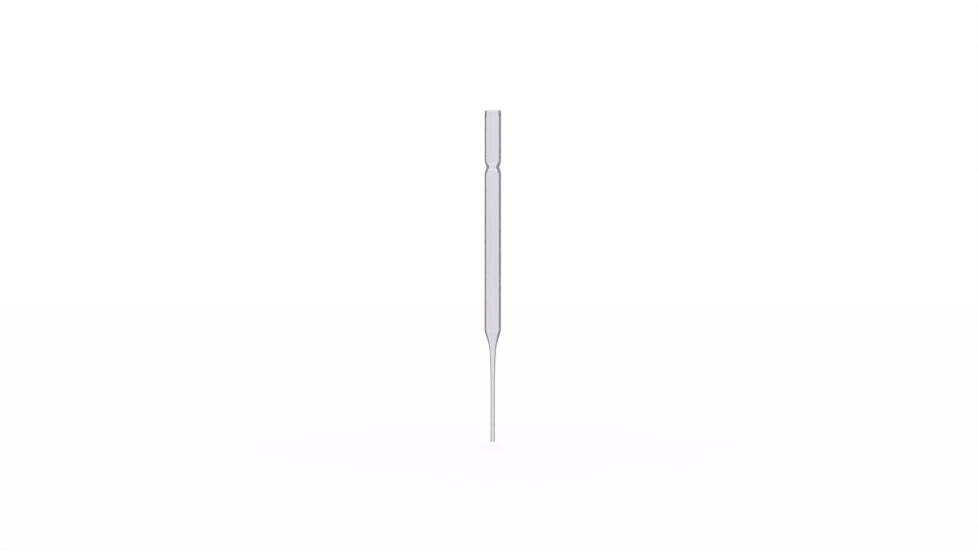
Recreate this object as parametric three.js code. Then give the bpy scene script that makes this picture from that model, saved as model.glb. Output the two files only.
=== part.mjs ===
// A glass dropping pipette with a plug constriction, drawn from one length of thin-walled tube.
//
// The real object is a single piece of glass. It is modelled here as the zones that the
// glassworker forms one after another, each a closed ring of glass in its own mesh, and each
// meeting the next face to face: the fire-polished lip, the mouth tube, the plug constriction,
// the barrel, the drawn shoulder, the capillary stem and the jet.
//
// Millimetres, +Z up along the axis. The origin is the centre of the mouth, on the plane of
// the rim, and the pipette hangs below it.

import * as THREE from 'three';

// The tube that everything is drawn from.
const tubeOutsideDiameter = 7.3;
const tubeWall = 0.52;

// The lip: the flame rounds its two edges and gathers a little glass inside it.
const lipLength = 3;
const lipGather = 0.1;
const rimOuterRound = 0.31;
const rimInnerRound = 0.25;

// The mouth tube, which a rubber teat slides over.
const mouthTubeLength = 18.5;

// The plug constriction: a groove rolled into the soft tube, steeper above its waist than below.
// The bore follows it less sharply than the outside, by boreEasing.
const constrictionLength = 7.3;
const waistDepth = 3.5;
const grooveDepth = 0.74;
const waistWall = 0.86;
const grooveLead = 2.4;
const waistApproach = 1.7;
const waistLead = 1;
const grooveRunOut = 3;
const boreEasing = 0.8;

// The barrel, which holds the liquid.
const barrelLength = 67.2;

// The shoulder, where the hot tube was drawn down to the stem.
const shoulderLength = 11;
const shoulderLead = 3;
const shoulderRunOut = 6;
const shoulderBoreLead = 2.3;
const shoulderBoreRunOut = 6.5;

// The capillary stem, which still tapers a little.
const stemLength = 16;
const stemTopOutsideDiameter = 2.72;
const stemTopWall = 0.25;
const stemTaperReach = 9.6;
const stemRunOut = 3;

// The jet: the parallel end of the stem, cut off square.
const jetLength = 23;
const tipOutsideDiameter = 1.9;
const tipWall = 0.28;

// Faceting.
const roundSegments = 36;
const curveSteps = 10;
const roundSteps = 4;

// Everything below is worked out from the values above.
const tubeRadius = tubeOutsideDiameter / 2;
const tubeBoreRadius = tubeRadius - tubeWall;
const lipBoreRadius = tubeBoreRadius - lipGather;
const waistRadius = tubeRadius - grooveDepth;
const waistBoreRadius = waistRadius - waistWall;
const stemTopRadius = stemTopOutsideDiameter / 2;
const stemTopBoreRadius = stemTopRadius - stemTopWall;
const tipRadius = tipOutsideDiameter / 2;
const tipBoreRadius = tipRadius - tipWall;

/** A point of an outline: how far it is from the axis, and how far below the top of its zone. */
function at(radius, depth) {
  return new THREE.Vector2(radius, -depth);
}

/** The points of a smooth line through four control points, which sets out and arrives along them. */
function smooth(start, leaving, arriving, end, steps = curveSteps) {
  return new THREE.CubicBezierCurve(start, leaving, arriving, end).getPoints(steps);
}

/** A quarter-round edge about a centre, from one angle to another. */
function rounded(centre, round, fromAngle, toAngle) {
  const clockwise = toAngle < fromAngle;
  const edge = new THREE.EllipseCurve(centre.x, centre.y, round, round, fromAngle, toAngle, clockwise);
  return edge.getPoints(roundSteps);
}

/** A ring of glass: its outside and its bore, both listed from the top down, turned about Z. */
function ring(outside, bore) {
  const outline = [...outside].reverse().concat(bore);
  outline.push(outline[0]);
  const geometry = new THREE.LatheGeometry(outline, roundSegments);
  return geometry.rotateX(Math.PI / 2);
}

/** The lip, with its flat rim between an outer and an inner fire-polished edge. */
function lip() {
  const outerCentre = at(tubeRadius - rimOuterRound, rimOuterRound);
  const innerCentre = at(lipBoreRadius + rimInnerRound, rimInnerRound);
  const outside = rounded(outerCentre, rimOuterRound, Math.PI / 2, 0);
  outside.push(at(tubeRadius, lipLength));
  const bore = rounded(innerCentre, rimInnerRound, Math.PI / 2, Math.PI);
  const boreLine = smooth(
    at(lipBoreRadius, lipLength / 3),
    at(lipBoreRadius, lipLength * 2 / 3),
    at(tubeBoreRadius, lipLength * 2 / 3),
    at(tubeBoreRadius, lipLength),
    roundSteps,
  );
  return ring(outside, bore.concat(boreLine));
}

/** A plain length of tube. */
function plainTube(radius, boreRadius, length) {
  return ring([at(radius, 0), at(radius, length)], [at(boreRadius, 0), at(boreRadius, length)]);
}

/** The groove's line at one surface of the tube: in to the waist and out again, both ends upright. */
function grooveLine(fullRadius, floorRadius, easing) {
  const inward = smooth(
    at(fullRadius, 0),
    at(fullRadius, grooveLead * easing),
    at(floorRadius, waistDepth - waistApproach * easing),
    at(floorRadius, waistDepth),
  );
  const outward = smooth(
    at(floorRadius, waistDepth),
    at(floorRadius, waistDepth + waistLead * easing),
    at(fullRadius, constrictionLength - grooveRunOut * easing),
    at(fullRadius, constrictionLength),
  );
  return inward.concat(outward.slice(1));
}

/** The plug constriction. */
function constriction() {
  const outside = grooveLine(tubeRadius, waistRadius, 1);
  const bore = grooveLine(tubeBoreRadius, waistBoreRadius, boreEasing);
  return ring(outside, bore);
}

/** The shoulder's line at one surface, which arrives at the slope that the stem sets out with. */
function shoulderLine(fullRadius, endRadius, jetRadius, lead, runOut) {
  const stemSlope = (endRadius - jetRadius) / stemTaperReach;
  return smooth(
    at(fullRadius, 0),
    at(fullRadius, lead),
    at(endRadius + stemSlope * runOut, shoulderLength - runOut),
    at(endRadius, shoulderLength),
  );
}

/** The drawn shoulder, whose bore closes in sooner than its outside, since hot glass gathers there. */
function shoulder() {
  return ring(
    shoulderLine(tubeRadius, stemTopRadius, tipRadius, shoulderLead, shoulderRunOut),
    shoulderLine(tubeBoreRadius, stemTopBoreRadius, tipBoreRadius, shoulderBoreLead, shoulderBoreRunOut),
  );
}

/** The stem's line at one surface, from the shoulder down to the jet. */
function stemLine(topRadius, jetRadius) {
  return smooth(
    at(topRadius, 0),
    at(jetRadius, stemTaperReach),
    at(jetRadius, stemLength - stemRunOut),
    at(jetRadius, stemLength),
  );
}

/** The capillary stem. */
function stem() {
  return ring(stemLine(stemTopRadius, tipRadius), stemLine(stemTopBoreRadius, tipBoreRadius));
}

/** The parallel jet, with its square-cut end. */
function jet() {
  return plainTube(tipRadius, tipBoreRadius, jetLength);
}

/** Clear glass with a faint lavender-grey cast. */
function clearGlass() {
  return new THREE.MeshStandardMaterial({
    color: 0xdad9e2,
    roughness: 0.04,
    metalness: 0,
    transparent: true,
    opacity: 0.4,
  });
}

// The zones in order from the mouth down, each with its geometry and its length.
const zones = [
  ['mouth_lip', lip(), lipLength],
  ['mouth_tube', plainTube(tubeRadius, tubeBoreRadius, mouthTubeLength), mouthTubeLength],
  ['plug_constriction', constriction(), constrictionLength],
  ['barrel', plainTube(tubeRadius, tubeBoreRadius, barrelLength), barrelLength],
  ['drawn_shoulder', shoulder(), shoulderLength],
  ['capillary_stem', stem(), stemLength],
  ['jet_tip', jet(), jetLength],
];

const pipette = new THREE.Group();
let depthBelowRim = 0;
for (const [name, geometry, length] of zones) {
  const mesh = new THREE.Mesh(geometry, clearGlass());
  mesh.name = name;
  mesh.position.z = -depthBelowRim;
  pipette.add(mesh);
  depthBelowRim += length;
}

export default pipette;
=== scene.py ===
# %% [markdown]
# # A glass dropping pipette, drawn from one tube
#
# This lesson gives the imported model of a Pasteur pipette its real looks. The object is one piece
# of clear glass: a thin-walled tube with a fire-polished mouth, a groove rolled into it to stop a
# cotton plug, a long barrel, and an end that was heated and drawn out to a fine stem. There is
# nothing to see but glass, so the lesson is about a true wall, a true bore, and light.
#
# The frame is the fixed model that the shapes are built around. Everything is in metres.

# %% Load the frame
import math

import bpy
import numpy as np
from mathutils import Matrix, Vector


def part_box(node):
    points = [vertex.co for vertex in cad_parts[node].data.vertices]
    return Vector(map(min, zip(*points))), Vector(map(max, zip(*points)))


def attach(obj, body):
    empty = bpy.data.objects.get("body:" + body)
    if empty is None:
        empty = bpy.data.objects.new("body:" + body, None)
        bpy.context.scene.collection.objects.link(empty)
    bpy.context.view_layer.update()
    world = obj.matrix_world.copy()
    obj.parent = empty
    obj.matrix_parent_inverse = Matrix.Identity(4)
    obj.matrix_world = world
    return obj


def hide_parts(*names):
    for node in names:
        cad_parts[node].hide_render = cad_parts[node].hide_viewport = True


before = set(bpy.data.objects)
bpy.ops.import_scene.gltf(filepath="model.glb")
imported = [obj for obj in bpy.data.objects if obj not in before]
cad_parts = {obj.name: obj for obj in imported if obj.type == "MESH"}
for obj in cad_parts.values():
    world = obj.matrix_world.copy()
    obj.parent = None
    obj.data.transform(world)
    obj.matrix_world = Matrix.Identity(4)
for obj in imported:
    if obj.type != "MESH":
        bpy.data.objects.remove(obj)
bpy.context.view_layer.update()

# %% [markdown]
# ## Where the zones meet
#
# The frame holds one ring of glass for each zone that the glassworker forms: lip, mouth tube,
# groove, barrel, shoulder, stem and jet. Their boxes say how far below the rim each zone starts
# and how wide it is. Reading them, instead of typing the same numbers again, keeps the fine
# surface below from drifting away from the frame.

# %% Heights and widths from the frame
MM = 0.001
ZONES = [
    "mouth_lip", "mouth_tube", "plug_constriction", "barrel", "drawn_shoulder", "capillary_stem", "jet_tip",
]


def top_of(zone):
    """The height of a zone's upper end, in metres."""
    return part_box(zone)[1].z


def radius_of(zone):
    """Half the width of a zone at its widest, in metres."""
    low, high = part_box(zone)
    return (high.x - low.x) / 2


TOPS = [top_of(zone) for zone in ZONES]
RIM_Z, TUBE_Z, GROOVE_Z, BARREL_Z, SHOULDER_Z, STEM_Z, JET_Z = TOPS
TIP_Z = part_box("jet_tip")[0].z
TUBE_R = radius_of("barrel")
STEM_TOP_R = radius_of("capillary_stem")
TIP_R = radius_of("jet_tip")
print("zones start at", [round(z / MM, 2) for z in TOPS], "mm, tip at", round(TIP_Z / MM, 2))
radii = (TUBE_R, STEM_TOP_R, TIP_R)
print("radii of tube, stem and tip:", [round(radius / MM, 3) for radius in radii], "mm")

# %% [markdown]
# ## Walls and bores
#
# A box can't say how thick the glass is, and in clear glass the wall is what the eye reads: light
# that meets the tube near its edge is trapped in the wall and leaves sideways, so the wall shows
# as a dark band about as wide as itself. The tube's wall is half a millimetre. Hot glass gathers,
# so it is a little thicker at the lip and clearly thicker at the waist of the groove. Drawing
# thins it again, so the stem's wall is about half of the tube's.

# %% Walls, bores and the groove's depth
WALL = 0.52 * MM
LIP_GATHER = 0.1 * MM
WAIST_WALL = 0.86 * MM
STEM_TOP_WALL = 0.25 * MM
TIP_WALL = 0.28 * MM
GROOVE_DEPTH = 0.74 * MM

BORE_R = TUBE_R - WALL
LIP_BORE_R = BORE_R - LIP_GATHER
WAIST_R = TUBE_R - GROOVE_DEPTH
WAIST_BORE_R = WAIST_R - WAIST_WALL
STEM_TOP_BORE_R = STEM_TOP_R - STEM_TOP_WALL
TIP_BORE_R = TIP_R - TIP_WALL
bores = (LIP_BORE_R, BORE_R, WAIST_BORE_R, STEM_TOP_BORE_R, TIP_BORE_R)
print("bores across:", [round(2 * radius / MM, 2) for radius in bores], "mm")

# %% [markdown]
# ## Lines that glass really takes
#
# Soft glass has no corners. Each stretch of the outline is a straight line, a quarter round, or a
# cubic curve that sets out along one direction and arrives along another, which is how a drawn
# neck or a rolled groove eases into the tube. The same outline could be drawn by hand and
# smoothed with a subdivision modifier, but refraction shows every uneven spot, so it is worked
# out exactly. The straight lines put their points close together near their ends: smooth shading
# blends the direction of the surface between points, and a long gap beside a round edge would
# bend the light as if the tube were swollen there.

# %% Curves for the outline


def bezier(start, leaving, arriving, end, steps):
    """Points on a cubic curve, t from 0 to 1.

    The four control points are weighted by (1-t)^3, 3(1-t)^2 t, 3(1-t) t^2 and t^3.
    """
    t = np.linspace(0, 1, steps + 1)[:, None]
    weights = np.hstack([(1 - t) ** 3, 3 * (1 - t) ** 2 * t, 3 * (1 - t) * t ** 2, t ** 3])
    return weights @ np.array([start, leaving, arriving, end])


def straight(start, end, steps):
    """Points start (1-t) + end t, which crowd near both ends.

    t = (1 - cos(pi s)) / 2, for even steps of s from 0 to 1.
    """
    t = (1 - np.cos(np.linspace(0, math.pi, steps + 1)[:, None])) / 2
    return (1 - t) * np.array([start]) + t * np.array([end])


def quarter_round(centre, radius, from_degrees, to_degrees, steps):
    """Points on a circle: centre + radius (cos a, sin a), for angles a between two limits."""
    a = np.radians(np.linspace(from_degrees, to_degrees, steps + 1))
    return np.array(centre) + radius * np.column_stack([np.cos(a), np.sin(a)])


def joined(*stretches):
    """The stretches end to end, each shared point kept once."""
    return np.vstack([stretch[:-1] for stretch in stretches[:-1]] + [stretches[-1]])


# %% [markdown]
# ## The plug groove
#
# The groove is made by pressing a narrow wheel against the soft, turning tube. It narrows the bore
# enough to stop a cotton plug, and it is steeper above its waist than below. Two cubic curves make
# it, both upright where they meet the tube and at the waist, so nothing shows where they join. The
# inside never gets as sharp as the outside that the wheel touches, so the bore uses the same
# curves with shorter handles.

# %% The groove's line
WAIST_BELOW_GROOVE_TOP = 3.5 * MM
GROOVE_LEAD = 2.4 * MM
WAIST_APPROACH = 1.7 * MM
WAIST_LEAD = 1.0 * MM
GROOVE_RUN_OUT = 3.0 * MM
BORE_EASING = 0.8


def groove(full, floor, easing, steps=48):
    """From the tube's radius in to the waist and out again: two cubic curves, upright at their ends."""
    waist_z = GROOVE_Z - WAIST_BELOW_GROOVE_TOP
    inward = bezier(
        (full, GROOVE_Z), (full, GROOVE_Z - GROOVE_LEAD * easing),
        (floor, waist_z + WAIST_APPROACH * easing), (floor, waist_z), steps,
    )
    outward = bezier(
        (floor, waist_z), (floor, waist_z - WAIST_LEAD * easing),
        (full, BARREL_Z + GROOVE_RUN_OUT * easing), (full, BARREL_Z), steps,
    )
    return joined(inward, outward)


waist_depth = RIM_Z - GROOVE_Z + WAIST_BELOW_GROOVE_TOP
print("waist:", round(2 * WAIST_R / MM, 2), "mm across,", round(waist_depth / MM, 1), "mm below the rim")

# %% [markdown]
# ## The drawn neck and the stem
#
# The end was softened in a flame and pulled. The pull leaves an S-shaped neck that turns into a
# stem, quickly narrowing at first and then hardly at all. The two curves share one slope where
# they meet, because a pulled thread has no kink. Glass gathers in the neck before it runs, so its
# bore closes in a little sooner than its outside.

# %% The neck's line
SHOULDER_LEAD = 3 * MM
SHOULDER_RUN_OUT = 6 * MM
SHOULDER_BORE_LEAD = 2.3 * MM
SHOULDER_BORE_RUN_OUT = 6.5 * MM
STEM_TAPER_REACH = 9.6 * MM
STEM_RUN_OUT = 3 * MM


def neck(full, end, jet, lead, run_out, steps=60):
    """The shoulder, then the stem: two cubic curves that meet with the slope (end - jet) / reach."""
    slope = (end - jet) / STEM_TAPER_REACH
    shoulder = bezier(
        (full, SHOULDER_Z), (full, SHOULDER_Z - lead),
        (end + slope * run_out, STEM_Z + run_out), (end, STEM_Z), steps,
    )
    stem = bezier(
        (end, STEM_Z), (jet, STEM_Z - STEM_TAPER_REACH), (jet, JET_Z + STEM_RUN_OUT), (jet, JET_Z), steps,
    )
    return joined(shoulder, stem)


neck_length, stem_and_jet_length = SHOULDER_Z - STEM_Z, STEM_Z - TIP_Z
print("neck:", round(neck_length / MM, 1), "mm long, stem and jet", round(stem_and_jet_length / MM, 1), "mm")

# %% [markdown]
# ## The outside, from the rim to the tip
#
# The mouth is fire-polished: a flame rounds its two edges until only a hair-thin flat is left
# between them. The tip is only broken off and touched to the flame, so its edges are nearly sharp.
# A perfectly sharp edge would look like a drawing, because it never catches the light.

# %% The outside line
RIM_OUTER_ROUND = 0.31 * MM
TIP_ROUND = 0.04 * MM

outside = joined(
    quarter_round((TUBE_R - RIM_OUTER_ROUND, RIM_Z - RIM_OUTER_ROUND), RIM_OUTER_ROUND, 90, 0, steps=10),
    straight((TUBE_R, RIM_Z - RIM_OUTER_ROUND), (TUBE_R, GROOVE_Z), steps=20),
    groove(TUBE_R, WAIST_R, easing=1),
    straight((TUBE_R, BARREL_Z), (TUBE_R, SHOULDER_Z), steps=36),
    neck(TUBE_R, STEM_TOP_R, TIP_R, SHOULDER_LEAD, SHOULDER_RUN_OUT),
    straight((TIP_R, JET_Z), (TIP_R, TIP_Z + TIP_ROUND), steps=16),
    quarter_round((TIP_R - TIP_ROUND, TIP_Z + TIP_ROUND), TIP_ROUND, 0, -90, steps=5),
)
print("outside:", len(outside), "points, length", round((outside[0, 1] - outside[-1, 1]) / MM, 2), "mm")

# %% [markdown]
# ## The bore, from the rim to the tip
#
# The bore is a surface of its own, not a copy of the outside made smaller, because the wall
# changes all the way down: gathered at the lip, even in the tube, thick at the waist, thin in the
# stem. A Solidify modifier would give one thickness everywhere, and would get the width of every
# dark band wrong.

# %% The bore's line
RIM_INNER_ROUND = 0.25 * MM
LIP_EASE = (RIM_Z - TUBE_Z) / 3

bore = joined(
    quarter_round(
        (LIP_BORE_R + RIM_INNER_ROUND, RIM_Z - RIM_INNER_ROUND), RIM_INNER_ROUND, 90, 180, steps=8,
    ),
    straight((LIP_BORE_R, RIM_Z - RIM_INNER_ROUND), (LIP_BORE_R, RIM_Z - LIP_EASE), steps=6),
    bezier((LIP_BORE_R, RIM_Z - LIP_EASE), (LIP_BORE_R, RIM_Z - 2 * LIP_EASE),
           (BORE_R, TUBE_Z + LIP_EASE), (BORE_R, TUBE_Z), steps=14),
    straight((BORE_R, TUBE_Z), (BORE_R, GROOVE_Z), steps=16),
    groove(BORE_R, WAIST_BORE_R, BORE_EASING),
    straight((BORE_R, BARREL_Z), (BORE_R, SHOULDER_Z), steps=36),
    neck(BORE_R, STEM_TOP_BORE_R, TIP_BORE_R, SHOULDER_BORE_LEAD, SHOULDER_BORE_RUN_OUT),
    straight((TIP_BORE_R, JET_Z), (TIP_BORE_R, TIP_Z + TIP_ROUND), steps=16),
    quarter_round((TIP_BORE_R + TIP_ROUND, TIP_Z + TIP_ROUND), TIP_ROUND, 180, 270, steps=5),
)
flat = bore[0, 0] - outside[0, 0]
print("bore:", len(bore), "points; flat left on the rim", round(abs(flat) / MM, 3), "mm wide")

# %% [markdown]
# ## A bore that wanders a little
#
# No drawn tube has its bore quite in the middle. Here it leans to the right by a hundredth of a
# millimetre, so the wall is a hair thicker on the left, and it carries the faint lines that
# drawing leaves along a tube. They are far too shallow to see as lines. What they do is loosen the
# dark bands and the reflections, so the two sides stop being mirror images.

# %% How the bore wanders
LEAN = 0.004     # a share of the bore's radius
LEAN_TO = 0.0    # radians from +X, the right
# The lines of each set: their depth as a share of the radius, their count, and where they start, in radians.
DRAW_LINES = ((0.0010, 9, 1.0), (0.0006, 17, 2.0))


def bore_wander(angle):
    """How far the bore stands out from a true circle, as a share of its radius.

    One cosine of the angle makes it lean, and one of each count of lines makes the lines.
    """
    lines = sum(depth * np.cos(count * angle + start) for depth, count, start in DRAW_LINES)
    return LEAN * np.cos(angle - LEAN_TO) + lines


depths = [round(depth * BORE_R / MM, 4) for depth, _, _ in DRAW_LINES]
print("the bore leans by", round(LEAN * BORE_R / MM, 3), "mm; its lines are", depths, "mm deep")

# %% [markdown]
# ## Turning the glass
#
# Outside and bore are turned about the axis in one go, as a single closed skin: down the outside,
# across the cut tip, up the bore and over the rim. Cycles needs that skin to be closed and to face
# outwards everywhere, because it counts the ray as inside the glass from one crossing to the next.

# %% One closed skin
AROUND = 128    # points on each circle


def turned_glass(name, outside_line, bore_line):
    """Point (i, j) is (r cos a_j, r sin a_j, z_i), for row i of the two lines and step j of the angle.

    r is the row's radius, which on the bore is multiplied by 1 + bore_wander(a_j).
    """
    angle = np.arange(AROUND) * (2 * math.pi / AROUND)
    rows = np.vstack([outside_line, bore_line[::-1]])
    on_bore = np.repeat([0.0, 1.0], [len(outside_line), len(bore_line)])[:, None]
    radius = rows[:, :1] * (1 + on_bore * bore_wander(angle))
    grid = np.stack([radius * np.cos(angle), radius * np.sin(angle), rows[:, 1:] + 0 * angle], axis=-1)
    i, j = np.meshgrid(np.arange(len(rows)), np.arange(AROUND), indexing="ij")
    i_next, j_next = (i + 1) % len(rows), (j + 1) % AROUND
    corners = [(i, j), (i_next, j), (i_next, j_next), (i, j_next)]
    quads = np.stack([row * AROUND + column for row, column in corners], axis=-1)
    mesh = bpy.data.meshes.new(name)
    mesh.from_pydata(grid.reshape(-1, 3).tolist(), [], quads.reshape(-1, 4).tolist())
    mesh.polygons.foreach_set("use_smooth", np.ones(len(mesh.polygons), bool))
    mesh.update()
    piece = bpy.data.objects.new(name, mesh)
    bpy.context.scene.collection.objects.link(piece)
    return piece


glass = turned_glass("pipette_glass", outside, bore)
print("glass:", len(glass.data.vertices), "points,", 2 * len(glass.data.polygons), "triangles")

# %% [markdown]
# ## Helpers for materials
#
# Colours are written as the hex values of a colour picker, which are sRGB, and a shader works in
# linear light, so one function turns the first into the second. Another adds a node with its
# settings and links in one call, so that a material reads as a list of what it is made of.

# %% Colour and nodes


def linear(hex_colour):
    """An sRGB hex colour as linear values: below 0.04045 v/12.92, above it ((v+0.055)/1.055)^2.4."""
    v = np.array([int(hex_colour[k:k + 2], 16) / 255 for k in (1, 3, 5)])
    return [*np.where(v <= 0.04045, v / 12.92, ((v + 0.055) / 1.055) ** 2.4).tolist(), 1.0]


def add(tree, kind, settings=None, links=None):
    """Adds a node. A key is an input's name or number or, in settings, the name of an attribute."""
    node = tree.nodes.new(kind)
    for key, value in (settings or {}).items():
        if isinstance(key, int) or key in node.inputs:
            node.inputs[key].default_value = value
        else:
            setattr(node, key, value)
    for key, socket in (links or {}).items():
        tree.links.new(socket, node.inputs[key])
    return node


def new_material(name):
    """A material with an empty node tree."""
    material = bpy.data.materials.new(name)
    material.use_nodes = True
    material.node_tree.nodes.clear()
    return material


print("mid grey #808080 is", [round(v, 3) for v in linear("#808080")[:3]], "in linear light")

# %% [markdown]
# ## Drawn clear glass
#
# The glass is drawn and fire-polished, which leaves the smoothest surface that glass can have, so
# its roughness is zero. Laboratory glass bends light by an index of about 1.5. It isn't quite
# without colour: looking through a wall shows next to nothing, but looking along one, as at the
# dark edges, shows a faint violet grey. So the colour is in the body of the glass, as absorption
# for each millimetre of path, and not painted on its surface.

# %% The glass
GLASS_INDEX = 1.5
BODY_TINT = "#fbfafd"
ABSORPTION_PER_METRE = 1000.0


def drawn_clear_glass():
    """Clear drawn glass: mirror-smooth, with a faint tint in its body that deepens along a wall."""
    material = new_material("drawn_clear_glass")
    tree = material.node_tree
    surface = add(tree, "ShaderNodeBsdfPrincipled", {
        "Base Color": linear("#ffffff"), "Roughness": 0.0, "IOR": GLASS_INDEX, "Transmission Weight": 1.0,
    })
    body = add(tree, "ShaderNodeVolumeAbsorption", {
        "Color": linear(BODY_TINT), "Density": ABSORPTION_PER_METRE,
    })
    add(tree, "ShaderNodeOutputMaterial", links={
        "Surface": surface.outputs["BSDF"], "Volume": body.outputs["Volume"],
    })
    return material


glass.data.materials.append(drawn_clear_glass())
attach(glass, "root")
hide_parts(*ZONES)
through_wall = [math.exp(-ABSORPTION_PER_METRE * (1 - v) * WALL) for v in linear(BODY_TINT)[:3]]
print("light left after one wall:", [round(v, 3) for v in through_wall])

# %% [markdown]
# ## The floor
#
# The pipette stands free over a white paper floor, so close that it grounds the picture with a
# trace of a shadow. The glass itself is not shown the paper: in a real studio the paper near such
# a thin tube is screened off with dark card, or the tube's lower half fills with white and loses
# its edges.

# %% White paper floor
FLOOR_GAP = 2 * MM
FLOOR_HALF = 3.0
floor_z = TIP_Z - FLOOR_GAP
floor_mesh = bpy.data.meshes.new("floor")
floor_mesh.from_pydata(
    [(-FLOOR_HALF, -FLOOR_HALF, floor_z), (FLOOR_HALF, -FLOOR_HALF, floor_z),
     (FLOOR_HALF, FLOOR_HALF, floor_z), (-FLOOR_HALF, FLOOR_HALF, floor_z)],
    [], [(0, 1, 2, 3)],
)
floor = bpy.data.objects.new("floor", floor_mesh)
bpy.context.scene.collection.objects.link(floor)


def matt_white_paper():
    """Uncoated white paper: it scatters nine tenths of the light evenly and has no gloss."""
    material = new_material("matt_white_paper")
    surface = add(material.node_tree, "ShaderNodeBsdfDiffuse", {"Color": linear("#f3f3f3")})
    add(material.node_tree, "ShaderNodeOutputMaterial", links={"Surface": surface.outputs["BSDF"]})
    return material


floor_mesh.materials.append(matt_white_paper())
floor.visible_glossy = False
floor.visible_transmission = False
print("floor:", round((TIP_Z - floor_z) / MM, 1), "mm below the tip")

# %% [markdown]
# ## The light
#
# Clear glass has no colour to light. What shows is the room, bent and mirrored, so the studio is
# built as a room. Straight behind stands a white panel that fills the middle of the tube. Black
# card stands on both sides of it, and draws the dark line along each edge. Farther round come grey
# card, soft boxes at the sides, and dimmer panels towards the front, whose reflections model the
# tube's roundness. This is bright-field light, the usual light for clear glassware. The room is
# painted on the world background, where each panel costs a few numbers, instead of being built
# from area lights.

# %% The ring of panels
# Each pair is an angle from straight behind, in degrees, the same left and right, and a brightness.
PANELS = (
    (0, 0.80), (8, 0.82), (16, 0.82),                           # the white panel behind
    (19, 0.0), (36, 0.0),                                       # black card beside it
    (39, 0.6), (51, 0.6), (55, 0.45), (58, 0.15), (68, 0.15),   # grey card, getting darker
    (72, 0.82), (108, 0.82),                                    # soft boxes at the sides
    (112, 0.3), (123, 0.3),                                     # dim card, towards the front
    (127, 0.6), (143, 0.6), (147, 0.5), (161, 0.5),             # paler card, still farther round
    (166, 0.65), (180, 0.65),                                   # the pale wall behind the camera
)
TURN = math.radians(-4.0)   # the whole ring stands a little to the left, so the right edge is darker

world = bpy.data.worlds.new("studio")
bpy.context.scene.world = world
world.use_nodes = True
tree = world.node_tree
tree.nodes.clear()


def fill_ramp(ramp, stops):
    """Puts stops, each a place from 0 to 1 and a colour, into a ramp that already has its two end stops."""
    for place, colour in stops:
        at_end = place in (0, 1)
        stop = ramp.elements[0 if place == 0 else -1] if at_end else ramp.elements.new(place)
        stop.color = (*colour, 1)


way = add(tree, "ShaderNodeTexCoord")
split = add(tree, "ShaderNodeSeparateXYZ", links={"Vector": way.outputs["Generated"]})
east, north, up = split.outputs
azimuth = add(tree, "ShaderNodeMath", {"operation": "ARCTAN2"}, {0: east, 1: north})
turned = add(tree, "ShaderNodeMath", {"operation": "SUBTRACT", 1: TURN}, {0: azimuth.outputs[0]})
aside = add(tree, "ShaderNodeMath", {"operation": "ABSOLUTE"}, {0: turned.outputs[0]})
share = add(tree, "ShaderNodeMath", {"operation": "DIVIDE", 1: math.pi}, {0: aside.outputs[0]})
ring = add(tree, "ShaderNodeValToRGB", links={"Fac": share.outputs[0]})
fill_ramp(ring.color_ramp, [(angle / 180, (level,) * 3) for angle, level in PANELS])
print("ring:", len(PANELS), "stops, turned by", round(math.degrees(TURN), 1), "degrees")

# %% [markdown]
# ## Above and below the ring
#
# Overhead hangs a large, bright soft dome, which lights the top of the rim. Far below, the table
# glows back. Between them the ring shades a little from its foot to its head, because a paper
# sweep is never lit quite evenly, and that shading is what gives the tube its quiet change of grey
# from the mouth to the jet.

# %% Dome, table and the sweep's shading
DOME = 1.75
TABLE = 0.82
DOME_FROM, DOME_TO = 0.6, 0.75
TABLE_FROM, TABLE_TO = -0.55, -0.7
# The sweep's shade by height: the sine of the angle above the horizon, and a tone.
SWEEP = (
    (-0.20, (0.93, 0.92, 0.96)), (-0.11, (0.98, 0.98, 1.00)), (-0.075, (0.97, 0.97, 0.99)),
    (-0.055, (0.94, 0.93, 0.955)), (0.0, (0.924, 0.913, 0.953)), (0.045, (0.92, 0.913, 0.962)),
    (0.09, (0.945, 0.925, 0.985)),
)
foot, head = SWEEP[0][0], SWEEP[-1][0]

lifted = add(tree, "ShaderNodeMapRange", {
    "interpolation_type": "SMOOTHSTEP", "From Min": DOME_FROM, "From Max": DOME_TO,
}, {"Value": up})
sunk = add(tree, "ShaderNodeMapRange", {
    "interpolation_type": "SMOOTHSTEP", "From Min": TABLE_FROM, "From Max": TABLE_TO,
}, {"Value": up})
height = add(tree, "ShaderNodeMapRange", {"From Min": foot, "From Max": head}, {"Value": up})
shade = add(tree, "ShaderNodeValToRGB", links={"Fac": height.outputs[0]})
fill_ramp(shade.color_ramp, [((up_here - foot) / (head - foot), tone) for up_here, tone in SWEEP])

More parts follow.
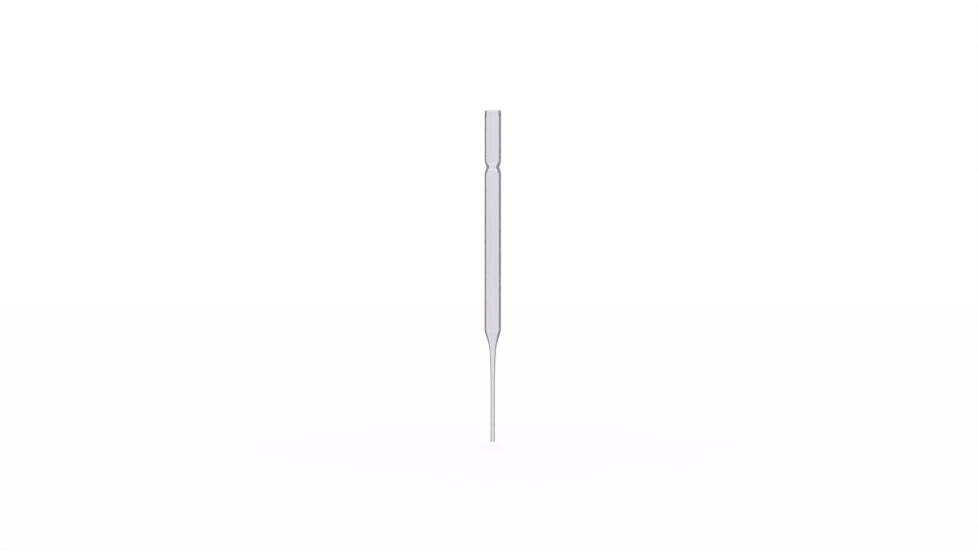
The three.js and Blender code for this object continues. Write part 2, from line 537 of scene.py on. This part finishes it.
# A colour Mix node has its factor on input 0, its two colours on 6 and 7, and its result on output 2.
with_dome = add(tree, "ShaderNodeMix", {"data_type": "RGBA", 7: (DOME, DOME, DOME, 1)},
                {0: lifted.outputs[0], 6: ring.outputs["Color"]})
with_table = add(tree, "ShaderNodeMix", {"data_type": "RGBA", 7: (TABLE, TABLE, TABLE, 1)},
                 {0: sunk.outputs[0], 6: with_dome.outputs[2]})
room = add(tree, "ShaderNodeMix", {"data_type": "RGBA", "blend_type": "MULTIPLY", 0: 1.0},
           {6: with_table.outputs[2], 7: shade.outputs["Color"]})
print("dome", DOME, "table", TABLE, "sweep from", foot, "to", head)

# %% [markdown]
# ## A plain white ground
#
# The camera itself looks at plain white, as if the room ended in an overexposed sweep. Only rays
# that have met the glass see the panels, so the object alone carries their pattern and the ground
# stays clean from every side.

# %% What the camera sees directly
studio = add(tree, "ShaderNodeBackground", links={"Color": room.outputs[2]})
ground = add(tree, "ShaderNodeBackground", {"Color": linear("#ffffff"), "Strength": 1.0})
path = add(tree, "ShaderNodeLightPath")
seen = add(tree, "ShaderNodeMixShader", links={
    0: path.outputs["Is Camera Ray"], 1: studio.outputs[0], 2: ground.outputs[0],
})
add(tree, "ShaderNodeOutputWorld", links={"Surface": seen.outputs[0]})
print("world:", len(tree.nodes), "nodes")

# %% [markdown]
# ## The camera
#
# The camera stands level with the middle of the pipette, straight in front of it, as for a
# catalogue picture. It is 65 cm away, so the tube is seen as good as side on, and only a touch of
# the rim's and the tip's faces shows. Its picture is 43 cm wide, about three times the pipette's
# length.

# %% The camera
CAMERA_AWAY = 0.65
SEEN_WIDTH = 0.4314
SENSOR_WIDTH = 36    # of a full-frame camera, in mm
NEAREST_SEEN = 0.01
CAMERA_ASIDE = -1.67 * MM
CAMERA_LIFT = 0.58 * MM
CAMERA_ROLL = math.radians(-0.035)

camera_data = bpy.data.cameras.new("camera")
camera_data.sensor_width = SENSOR_WIDTH
camera_data.lens = SENSOR_WIDTH * CAMERA_AWAY / SEEN_WIDTH
camera_data.clip_start = NEAREST_SEEN
camera = bpy.data.objects.new("camera", camera_data)
bpy.context.scene.collection.objects.link(camera)
camera.location = (CAMERA_ASIDE, -CAMERA_AWAY, (RIM_Z + TIP_Z) / 2 + CAMERA_LIFT)
camera.rotation_euler = (math.pi / 2, CAMERA_ROLL, 0)
bpy.context.scene.camera = camera
bpy.context.scene.view_settings.view_transform = "Standard"
print("camera:", round(camera_data.lens, 1), "mm lens,", CAMERA_AWAY, "m away")
